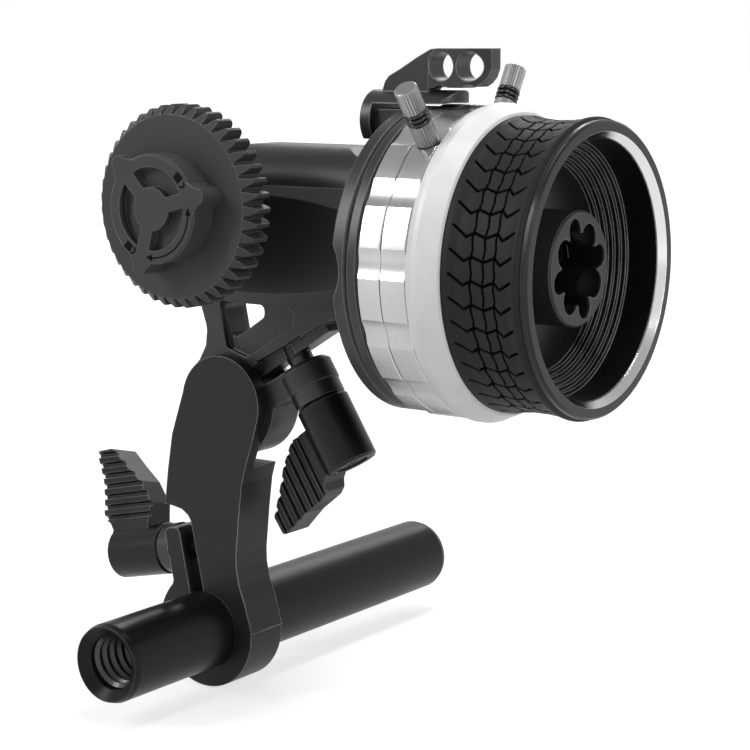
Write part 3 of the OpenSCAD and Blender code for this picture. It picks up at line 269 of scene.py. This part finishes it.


# Clamp arm
# Milled from aluminium plate, bead blasted and black anodised, with a bright cut chamfer round
# its front face; its pale edge colour is partly that bright cut and partly a painted highlight.
# A steel washer and screw hold its pivot.

dress(finish_material(
    "black_anodised_arm", (0.014, 0.014, 0.0148), (0.5, 0.5, 0.51), specular=0.2,
    roughness=0.4, roughness_spread=0.1, edge_width=0.00035, edge_amount=0.9,
    grain_scale=7000.0, grain_height=0.35), "clamp_arm")

STEEL = finish_material("turned_steel", (0.42, 0.42, 0.43), (0.7, 0.7, 0.7), metallic=1.0,
                        roughness=0.3, roughness_spread=0.15, edge_width=0.0001,
                        edge_amount=0.4, grain_scale=2500.0, grain_height=0.15)
dress(STEEL, "pivot_washer", "pivot_screw")


# Clamp levers
# Zinc castings, black coated and slightly glossy, each on a blackened steel
# stud. They lift against a spring so that the wing can be set to any angle.

dress(finish_material(
    "black_cast_lever", (0.005, 0.005, 0.0053), (0.35, 0.35, 0.35), specular=0.22,
    roughness=0.32, roughness_spread=0.12, edge_width=0.0004, edge_amount=0.5,
    grain_scale=3500.0, grain_height=0.25), "rod_lever", "swing_lever")

BLACK_STEEL = finish_material("blackened_steel", (0.04, 0.04, 0.042), (0.25, 0.25, 0.25),
                              metallic=0.6, roughness=0.32, roughness_spread=0.12,
                              edge_width=0.00015, edge_amount=0.6, grain_scale=3000.0,
                              grain_height=0.15)
dress(BLACK_STEEL, "rod_clamp_stud", "rod_lever_screw", "rod_lever_spring", "swing_clamp_stud",
      "swing_lever_screw", "swing_lever_spring")

# the swing clamp's stud, where it crosses the slit of the bracket
JOINTS = {joint["name"]: joint for joint in frame["joints"]}
STUD_AT = Vector(JOINTS["swing_screw_turn"]["pos_m"]) / MM
STUD_UP = -Vector(JOINTS["swing_screw_turn"]["axis"])
STUD_ROOT_R, STUD_CREST_R = 2.39, 2.58
STUD_PITCH = 0.8
STUD_FOOT = 0.32           # half the width of the ridge's foot
STUD_STEPS = 40            # steps in one turn
SLIT_FROM, SLIT_TO = 0.35, 3.95


def stud_thread(name, material):
    """An outside thread: a sharp ridge wound on the stud."""
    side = Vector((0, 1, 0))
    front = STUD_UP.cross(side)
    verts, faces = [], []
    total = int((SLIT_TO - SLIT_FROM) / STUD_PITCH * STUD_STEPS)
    for k in range(total + 1):
        a = 2 * math.pi * k / STUD_STEPS
        out = side * math.cos(a) + front * math.sin(a)
        h = SLIT_FROM + STUD_PITCH * k / STUD_STEPS
        for dh, r in ((-STUD_FOOT, STUD_ROOT_R), (0, STUD_CREST_R), (STUD_FOOT, STUD_ROOT_R)):
            verts.append(STUD_AT + STUD_UP * (h + dh) + out * r)
    for k in range(total):
        for j in range(3):
            m = (j + 1) % 3
            faces.append((3 * k + j, 3 * k + m, 3 * k + 3 + m, 3 * k + 3 + j))
    faces.append((2, 1, 0))
    faces.append((3 * total, 3 * total + 1, 3 * total + 2))
    return new_piece(name, verts, faces, material)


ridge = stud_thread("swing_stud_thread", BLACK_STEEL)
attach(ridge, "swing_stud")


# Swing bracket and gearbox
# The bracket and housing are cast aluminium, blasted and black anodised; the
# round rear cover is turned and ribbed so that it can be unscrewed by hand.

dress(finish_material(
    "black_anodised_housing", (0.014, 0.014, 0.0148), (0.25, 0.25, 0.26), specular=0.28,
    roughness=0.4, roughness_spread=0.1, edge_width=0.0004, edge_amount=0.45,
    grain_scale=8000.0, grain_height=0.3), "gearbox_housing", "rear_cover")

dress(finish_material(
    "black_anodised_bracket", (0.024, 0.024, 0.0248), (0.35, 0.35, 0.36), specular=0.35,
    roughness=0.4, roughness_spread=0.08, edge_width=0.0004, edge_amount=0.8,
    grain_scale=8000.0, grain_height=0.3), "swing_bracket")

dress(STEEL, "bearing_plate", "gear_bearings", "idler_shaft", "output_shaft")
dress(finish_material(
    "machined_brass", (0.62, 0.43, 0.16), (0.85, 0.68, 0.38), metallic=1.0,
    roughness=0.28, roughness_spread=0.12, edge_width=0.0001, edge_amount=0.5,
    grain_scale=2500.0, grain_height=0.15),
    "idler_bevel_gear", "idler_spur_gear", "output_spur_gear", "wheel_bevel_gear")


# Stop flange, cover and stop arm
# Turned aluminium rings and a milled arm, black anodised to a fine satin with bright turned
# edges beside the groove; the pale edge colour is partly that bright cut and partly a painted
# highlight. Steel screws hold them.

dress(finish_material(
    "black_anodised_flange", (0.014, 0.014, 0.0148), (0.5, 0.5, 0.51), specular=0.4,
    roughness=0.36, roughness_spread=0.08, edge_width=0.0003, edge_amount=0.9,
    grain_scale=9000.0, grain_height=0.25), "stop_flange", "stop_cover", "stop_arm")
dress(STEEL, "flange_screws")
dress(BLACK_STEEL, "stop_arm_screw")


# Lens gear and lock cap
# Moulded black acetal with a fine spark-eroded skin. The cap turns to lock
# and carries an open and a closed padlock sign and a double arrow.

dress(finish_material(
    "black_moulded_plastic", (0.042, 0.0415, 0.042), (0.28, 0.28, 0.28), specular=0.22,
    roughness=0.48, roughness_spread=0.06, edge_width=0.00025, edge_amount=0.8,
    grain_scale=4500.0, grain_height=0.6), "lens_gear", "gear_lock_cap")

# the signs are thin plates standing on the cap's face, near black as painted shade of sunk marks
SIGN_SHADE = finish_material("sunk_sign_painted_shade", (0.006, 0.006, 0.006), (0.01, 0.01, 0.01), specular=0.05,
                       roughness=0.7, edge_width=0.00005, edge_amount=0.1)
GEAR_Z = JOINTS["drive_turn"]["pos_m"][2] / MM
CAP_FACE = box_mm("gear_lock_cap")[0].y
SIGN_R = 8.5               # the signs stand on one circle of the cap
SIGN_THICK = 0.06


def flat_sign(name, outline):
    """A thin plate on the cap's face, with its outline (X, Z) about the gear's axis."""
    n = len(outline)
    verts = [(x, y, GEAR_Z + z) for y in (CAP_FACE, CAP_FACE - SIGN_THICK) for x, z in outline]
    faces = [tuple(range(n, 2 * n))[::-1]]
    faces += [(i, (i + 1) % n, n + (i + 1) % n, n + i) for i in range(n)]
    piece = new_piece(name, verts, faces, SIGN_SHADE)
    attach(piece, "cap")


def polar(r, degrees):
    return r * math.cos(math.radians(degrees)), r * math.sin(math.radians(degrees))


def arc(r, start, end, steps):
    return [polar(r, start + (end - start) * k / steps) for k in range(steps + 1)]


# the double arrow: its line, and a head that points outwards at either end
ARROW_UPPER, ARROW_LOWER = -2, -92
LINE_HALF, LINE_STEPS = 0.12, 30
HEAD_HALF, HEAD_BASE, HEAD_TIP = 0.62, 3, 6
flat_sign("turn_arrow_line", arc(SIGN_R + LINE_HALF, ARROW_UPPER, ARROW_LOWER, LINE_STEPS)
          + arc(SIGN_R - LINE_HALF, ARROW_LOWER, ARROW_UPPER, LINE_STEPS))
for side, at, way in (("upper", ARROW_UPPER, 1), ("lower", ARROW_LOWER, -1)):
    head = [polar(SIGN_R + HEAD_HALF, at - way * HEAD_BASE), polar(SIGN_R, at + way * HEAD_TIP),
            polar(SIGN_R - HEAD_HALF, at - way * HEAD_BASE)]
    flat_sign("turn_arrow_head_" + side, head[::way])

# the padlocks: in degrees, where the case and the bow stand and where the bow's arc starts
PADLOCKS = (("open", 42, 33, 222), ("closed", -128, -121, -128))
CASE_HALF_ANGLE, CASE_HALF_HEIGHT, CASE_STEPS = 5.2, 0.75, 4
BOW_OUTER_R, BOW_INNER_R, BOW_STEPS = 0.75, 0.42, 12
for state, case_at, bow_at, bow_from in PADLOCKS:
    low, high = case_at - CASE_HALF_ANGLE, case_at + CASE_HALF_ANGLE
    flat_sign("padlock_case_" + state, arc(SIGN_R + CASE_HALF_HEIGHT, low, high, CASE_STEPS)
              + arc(SIGN_R - CASE_HALF_HEIGHT, high, low, CASE_STEPS))
    x, z = polar(SIGN_R, bow_at)
    bow = []
    for r, steps in ((BOW_OUTER_R, range(BOW_STEPS + 1)),
                     (BOW_INNER_R, range(BOW_STEPS, -1, -1))):
        for k in steps:
            t = math.radians(bow_from) + math.pi * k / BOW_STEPS
            bow.append((x + r * math.cos(t), z + r * math.sin(t)))
    flat_sign("padlock_bow_" + state, bow)


# Hand wheel core, crank hub and rim
# Turned aluminium, black anodised: a stepped dish, a hub with a lobed socket and
# a rounded rim whose inner bevel is cut bright. A steel shaft and screw hold them.

dress(STEEL, "wheel_shaft", "wheel_bearings", "wheel_screw")


def make_lathe_group():
    """Fine turning lines about the X axis, and a mask for a band of radii behind a plane."""
    g = bpy.data.node_groups.new("lathe_lines", "ShaderNodeTree")
    add_socket(g, "Line Scale", "Float", 4000.0)
    add_socket(g, "Band From", "Float", 0.0)
    add_socket(g, "Band To", "Float", 0.0)
    add_socket(g, "Well Below", "Float", 1.0)
    add_socket(g, "Height", "Float", out=True)
    add_socket(g, "Band", "Float", out=True)
    given = g.nodes.new("NodeGroupInput").outputs
    result = g.nodes.new("NodeGroupOutput").inputs
    coord = node(g, "TexCoord")
    place = node(g, "SeparateXYZ")
    link(g, coord.outputs["Object"], place.inputs[0])
    x, y, z = (place.outputs[axis] for axis in "XYZ")
    r = math_node(g, "SQRT", math_node(g, "MULTIPLY_ADD", z, z, math_node(g, "MULTIPLY", y, y)))

    # radius plus height gives lines on flat faces and on cylinders
    lines = node(g, "TexNoise", noise_dimensions="1D")
    lines.inputs["Detail"].default_value = 2.0
    link(g, math_node(g, "ADD", r, x), lines.inputs["W"])
    link(g, given["Line Scale"], lines.inputs["Scale"])
    link(g, lines.outputs[0], result["Height"])

    outside = math_node(g, "GREATER_THAN", r, given["Band From"])
    inside = math_node(g, "LESS_THAN", r, given["Band To"])
    below = math_node(g, "LESS_THAN", x, given["Well Below"])
    ringed = math_node(g, "MULTIPLY", outside, inside)
    link(g, math_node(g, "MULTIPLY", ringed, below), result["Band"])
    return g


LATHE = make_lathe_group()


def turned_material(name, color, edge_color, line_scale, line_height, band=None,
                    band_color=(0.62, 0.62, 0.63), band_metal=True, band_roughness=0.16,
                    **values):
    """A finish with turning lines. A band, as inner radius, outer radius and the X it ends at,
    in mm, can be cut bright or painted dark as shade in a recess."""
    material = finish_material(name, color, edge_color, **values)
    tree = material.node_tree
    shader = tree.nodes["Principled BSDF"]
    finish = next(n for n in tree.nodes if n.type == "GROUP")
    lathe = node(tree, "Group", node_tree=LATHE)
    lathe.inputs["Line Scale"].default_value = line_scale
    bump = node(tree, "Bump")
    bump.inputs["Distance"].default_value = RELIEF
    bump.inputs["Strength"].default_value = line_height
    link(tree, lathe.outputs["Height"], bump.inputs["Height"])
    link(tree, finish.outputs["Normal"], bump.inputs["Normal"])
    link(tree, bump.outputs[0], shader.inputs["Normal"])
    if band:
        for socket, value in zip(("Band From", "Band To", "Well Below"), band):
            lathe.inputs[socket].default_value = value * MM
        mix = node(tree, "Mix", data_type="RGBA")
        mix.inputs["B"].default_value = (*band_color, 1)
        rough = node(tree, "Mix")
        rough.inputs["B"].default_value = band_roughness
        for blend, own, target in ((mix, "Color", "Base Color"),
                                   (rough, "Roughness", "Roughness")):
            link(tree, lathe.outputs["Band"], blend.inputs["Factor"])
            link(tree, finish.outputs[own], blend.inputs["A"])
            link(tree, blend.outputs["Result"], shader.inputs[target])
        if band_metal:
            link(tree, lathe.outputs["Band"], shader.inputs["Metallic"])
    return material


dress(turned_material(
    "black_anodised_dish", (0.006, 0.006, 0.0063), (0.5, 0.5, 0.5), 5000.0, 0.25,
    specular=0.2, roughness=0.28, roughness_spread=0.06, edge_width=0.0003,
    edge_amount=1.2), "wheel_core")

SOCKET_SHADE_R, SOCKET_SHADE_LIP = 9.3, 0.5        # the socket is painted near black as shade from just behind the hub's face
HUB_FACE = box_mm("crank_hub")[1].x
dress(turned_material(
    "grey_anodised_hub_with_socket_shade", (0.035, 0.035, 0.036), (0.4, 0.4, 0.4), 5000.0, 0.12,
    band=(0.0, SOCKET_SHADE_R, HUB_FACE - SOCKET_SHADE_LIP), band_color=(0.0015, 0.0015, 0.0015),
    band_metal=False, band_roughness=0.75, specular=0.14, roughness=0.36,
    roughness_spread=0.06, edge_width=0.0003, edge_amount=0.8), "crank_hub")

BEVEL_FROM_R, BEVEL_TO_R = 22.15, 23.36
PAST_RIM = box_mm("rim_ring")[1].x + 1         # the bright band takes the bevel's full depth
dress(turned_material(
    "bright_cut_rim", (0.014, 0.014, 0.015), (0.2, 0.2, 0.2), 6000.0, 0.06,
    band=(BEVEL_FROM_R, BEVEL_TO_R, PAST_RIM), specular=0.2, roughness=0.28,
    roughness_spread=0.06, edge_width=0.0003, edge_amount=0.3), "rim_ring")


# Marking ring
# Turned white acetal, slightly translucent and satin, so that pencil marks
# can be written on its long cone and wiped off again.

MARKING = finish_material("white_acetal", (0.7, 0.695, 0.71), (0.8, 0.8, 0.81),
                          roughness=0.42, roughness_spread=0.05, edge_width=0.0003,
                          edge_amount=0.3, grain_scale=5000.0, grain_height=0.15)
shader = MARKING.node_tree.nodes["Principled BSDF"]
shader.inputs["Subsurface Weight"].default_value = 0.35
shader.inputs["Subsurface Radius"].default_value = (0.0012, 0.0012, 0.0013)
shader.inputs["Subsurface Scale"].default_value = 1.0
dress(MARKING, "marking_ring")


# Rubber grip
# A moulded rubber tyre stretched over the core: a waisted band whose tread
# has two rows of blocks between zigzag cuts and a row of slanted cuts each side.

RUBBER = finish_material("moulded_rubber", (0.014, 0.0135, 0.0135), (0.05, 0.05, 0.05),
                         specular=0.15, roughness=0.55, roughness_spread=0.1, edge_width=0.0001,
                         edge_amount=0.3, grain_scale=3500.0, grain_height=0.6)

# near black in the cuts: painted shade in the grooves, on a duller skin
RUBBER_CUT_SHADE = finish_material("rubber_cuts_painted_shade", (0.003, 0.003, 0.003), (0.01, 0.01, 0.01),
                             specular=0.03, roughness=0.8, roughness_spread=0.05,
                             edge_width=0.00005, edge_amount=0.1)

GRIP_FROM, GRIP_TO = (corner.x for corner in box_mm("rubber_grip"))
GRIP_WIDTH = GRIP_TO - GRIP_FROM
GRIP_SEAT_R, GRIP_R = 23.6, 25.7
# the outline: share of the width, and share of the waist's depth there
GRIP_WAIST = 0.65
GRIP_SHARES = [(0, 0), (0.06, 0), (0.2, 0.6), (0.4, 1), (0.6, 0.92), (0.8, 0.6), (0.94, -0.15),
               (1, 1)]
GRIP_ACROSS, GRIP_AROUND = 150, 34     # steps over the width and in one row of the tread
TREAD_ROWS = 40
TREAD_PITCH = 2 * math.pi * (GRIP_R - GRIP_WAIST / 2) / TREAD_ROWS
TREAD_DEPTH = 0.6
# the path of one cut over the tread: share of the width, and place along it in mm
TREAD_PATH = [(0.1, 0.95), (0.275, -0.9), (0.362, -0.1), (0.523, -0.95), (0.664, -0.1),
              (0.738, -1.25), (0.88, 0.05)]
TREAD_LINES = (0.362, 0.523, 0.664)
CUT_HALF, LINE_CUT_HALF = 0.19, 0.15
LINE_SWAY = 0.12
CUT_WALL = 0.08            # width over which a cut goes down
CUT_CORNERS = 1.4          # a face lies in a cut when its four corners add up to this


def grip_radius(share):
    """The tyre's radius on its smooth outline, before the tread is cut."""
    for (a, u), (b, v) in zip(GRIP_SHARES, GRIP_SHARES[1:]):
        if a <= share <= b:
            t = (share - a) / (b - a)
            t = t * t * (3 - 2 * t)
            return GRIP_R - GRIP_WAIST * (u + (v - u) * t)
    return GRIP_R


def tread_cut(share, along):
    """How deep the tread is cut at a point: 1 in a groove, 0 on a block."""
    x = share * GRIP_WIDTH
    best = math.inf
    for shift in (-TREAD_PITCH, 0, TREAD_PITCH):
        for (a, u), (b, v) in zip(TREAD_PATH, TREAD_PATH[1:]):
            ax, bx = a * GRIP_WIDTH, b * GRIP_WIDTH
            dx, dy = bx - ax, v - u
            t = ((x - ax) * dx + (along - shift - u) * dy) / (dx * dx + dy * dy)
            t = min(1.0, max(0.0, t))
            gap = math.hypot(x - ax - t * dx, along - shift - u - t * dy)
            best = min(best, gap - CUT_HALF)
    sway = LINE_SWAY * math.sin(2 * math.pi * along / TREAD_PITCH)
    for line in TREAD_LINES:
        best = min(best, abs(x - line * GRIP_WIDTH - sway) - LINE_CUT_HALF)
    return min(1.0, max(0.0, 0.5 - best / CUT_WALL))


def build_grip():
    """The tyre as rings of points: its tread, then its seat on the core."""
    verts, faces = [], []
    cuts = [[tread_cut(i / GRIP_ACROSS, TREAD_PITCH * j / GRIP_AROUND)
             for i in range(GRIP_ACROSS + 1)] for j in range(GRIP_AROUND)]
    columns = TREAD_ROWS * GRIP_AROUND
    for c in range(columns):
        a = 2 * math.pi * c / columns
        for i in range(GRIP_ACROSS + 1):
            share = i / GRIP_ACROSS
            r = grip_radius(share) - TREAD_DEPTH * cuts[c % GRIP_AROUND][i]
            verts.append((GRIP_FROM + share * GRIP_WIDTH, -r * math.cos(a), r * math.sin(a)))
        for x in (GRIP_TO, GRIP_FROM):
            verts.append((x, -GRIP_SEAT_R * math.cos(a), GRIP_SEAT_R * math.sin(a)))
    rank = GRIP_ACROSS + 3
    for c in range(columns):
        p, q = c * rank, (c + 1) % columns * rank
        for i in range(rank):
            k = (i + 1) % rank
            faces.append((p + i, q + i, q + k, p + k))
    tyre = new_piece("tyre_grip", verts, faces, RUBBER, smooth=True)

    # the floor and walls of the cuts are duller and painted near black as shade in the grooves
    tyre.data.materials.append(RUBBER_CUT_SHADE)
    for k, face in enumerate(tyre.data.polygons):
        c, i = divmod(k, rank)
        if i < GRIP_ACROSS:
            corners = (cuts[c % GRIP_AROUND][i:i + 2]
                       + cuts[(c + 1) % GRIP_AROUND][i:i + 2])
            face.material_index = int(sum(corners) > CUT_CORNERS)
    return tyre


grip = build_grip()
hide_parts("rubber_grip")
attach(grip, "wheel")


# Stop rings and stop screws
# Turned and milled aluminium, polished and clear anodised: each ring is held
# on the drum by a knurled thumb screw whose neck carries three rubber rings.

dress(turned_material(
    "polished_ring", (0.43, 0.43, 0.437), (0.75, 0.75, 0.75), 7000.0, 0.05, metallic=1.0,
    roughness=0.27, roughness_spread=0.04, edge_width=0.0002, edge_amount=0.4,
    grain_height=0.04), "stop_ring_a", "stop_ring_b")

dress(finish_material(
    "satin_stop_screw", (0.32, 0.32, 0.326), (0.7, 0.7, 0.7), metallic=1.0,
    roughness=0.32, roughness_spread=0.05, edge_width=0.00005, edge_amount=0.1,
    grain_scale=4000.0, grain_height=0.1), "stop_screw_a", "stop_screw_b")

dress(finish_material(
    "glossy_ring_rubber", (0.006, 0.006, 0.006), (0.02, 0.02, 0.02), specular=0.5,
    roughness=0.22, roughness_spread=0.05, edge_width=0.00005, edge_amount=0.1),
    "stop_orings_a", "stop_orings_b")


# Studio
# A pale floor, a white surround, four soft lamps and the photograph's camera.

FLOOR_GAP, FLOOR_HALF = 0.000565, 6        # below the lowest point, and half the width, in m
FLOOR_Z = cad_box[0].z - FLOOR_GAP
floor_mesh = bpy.data.meshes.new("floor")
floor_mesh.from_pydata([(x * FLOOR_HALF, y * FLOOR_HALF, FLOOR_Z)
                        for x, y in ((-1, -1), (1, -1), (1, 1), (-1, 1))], [], [(0, 1, 2, 3)])
floor = bpy.data.objects.new("floor", floor_mesh)
bpy.context.scene.collection.objects.link(floor)


def seen_directly(tree):
    """1 for what the camera, a mirror or glass shows, 0 for light on the object."""
    path = node(tree, "LightPath")
    total = path.outputs["Is Camera Ray"]
    for other in ("Is Glossy Ray", "Is Transmission Ray"):
        total = math_node(tree, "MAXIMUM", total, path.outputs[other])
    return total


floor_skin = bpy.data.materials.new("pale_floor")
floor_skin.use_nodes = True
tree = floor_skin.node_tree
shader = tree.nodes["Principled BSDF"]
shader.inputs["Base Color"].default_value = (0.5, 0.5, 0.5, 1)
shader.inputs["Roughness"].default_value = 0.9
shader.inputs["Specular IOR Level"].default_value = 0.0
shader.inputs["Emission Color"].default_value = (1, 1, 1, 1)
# the floor runs into the white surround a little way off
coord = node(tree, "TexCoord")
away = node(tree, "VectorMath", operation="LENGTH")
link(tree, coord.outputs["Object"], away.inputs[0])
fade = node(tree, "MapRange", interpolation_type="SMOOTHSTEP")
for key, value in (("From Min", 0.15), ("From Max", 0.7), ("To Min", 0.68), ("To Max", 0.96)):
    fade.inputs[key].default_value = value
link(tree, away.outputs["Value"], fade.inputs["Value"])
glow = math_node(tree, "MULTIPLY", fade.outputs["Result"], seen_directly(tree))
link(tree, glow, shader.inputs["Emission Strength"])
floor_mesh.materials.append(floor_skin)

AMBIENT = 0.45             # the surround's strength as light; it is seen at 1
world = bpy.data.worlds.new("surround")
bpy.context.scene.world = world
world.use_nodes = True
tree = world.node_tree
back = tree.nodes["Background"]
level = math_node(tree, "MULTIPLY_ADD", seen_directly(tree), 1 - AMBIENT, AMBIENT)
link(tree, level, back.inputs["Strength"])
# white all round and below, and darker overhead, as in a room with a backdrop
coord = node(tree, "TexCoord")
way = node(tree, "SeparateXYZ")
link(tree, coord.outputs["Generated"], way.inputs[0])
ramp = node(tree, "ValToRGB")
for stop, position, grey in zip(ramp.color_ramp.elements, (0.25, 0.75), (1, 0.6)):
    stop.position = position
    stop.color = (grey, grey, grey, 1)
link(tree, way.outputs["Z"], ramp.inputs["Fac"])
link(tree, ramp.outputs["Color"], back.inputs["Color"])

# each lamp's name, place in m, width and height in m, and power in W
LAMPS = (
    ("key_left", (-0.5, -0.65, 0.5), (0.1, 0.5), 4.4),
    ("top_box", (0.15, 0.05, 0.8), (0.4, 0.12), 3.4),
    ("strip_right", (0.85, -0.25, 0.2), (0.06, 0.6), 2.6),
    ("back_strip", (-0.34, 0.8, 0.55), (0.5, 0.08), 1.9),
)
LAMP_AIM = Vector((0.01, 0, -0.01))
for name, at, size, power in LAMPS:
    data = bpy.data.lights.new(name, "AREA")
    data.shape = "RECTANGLE"
    data.size, data.size_y = size
    data.energy = power
    lamp = bpy.data.objects.new(name, data)
    lamp.location = at
    lamp.rotation_euler = (LAMP_AIM - Vector(at)).to_track_quat("-Z", "Y").to_euler()
    bpy.context.scene.collection.objects.link(lamp)

CAMERA_LOOK = Vector((-0.5666, 0.8086, -0.1585))
cam_data = bpy.data.cameras.new("camera")
cam_data.lens = 99.02
cam_data.sensor_width = 36.0
cam_data.clip_start = 0.01
cam = bpy.data.objects.new("camera", cam_data)
cam.location = (0.2375, -0.3052, 0.03775)
cam.rotation_euler = CAMERA_LOOK.to_track_quat("-Z", "Y").to_euler()
bpy.context.scene.collection.objects.link(cam)
bpy.context.scene.camera = cam
bpy.context.scene.view_settings.view_transform = "Standard"
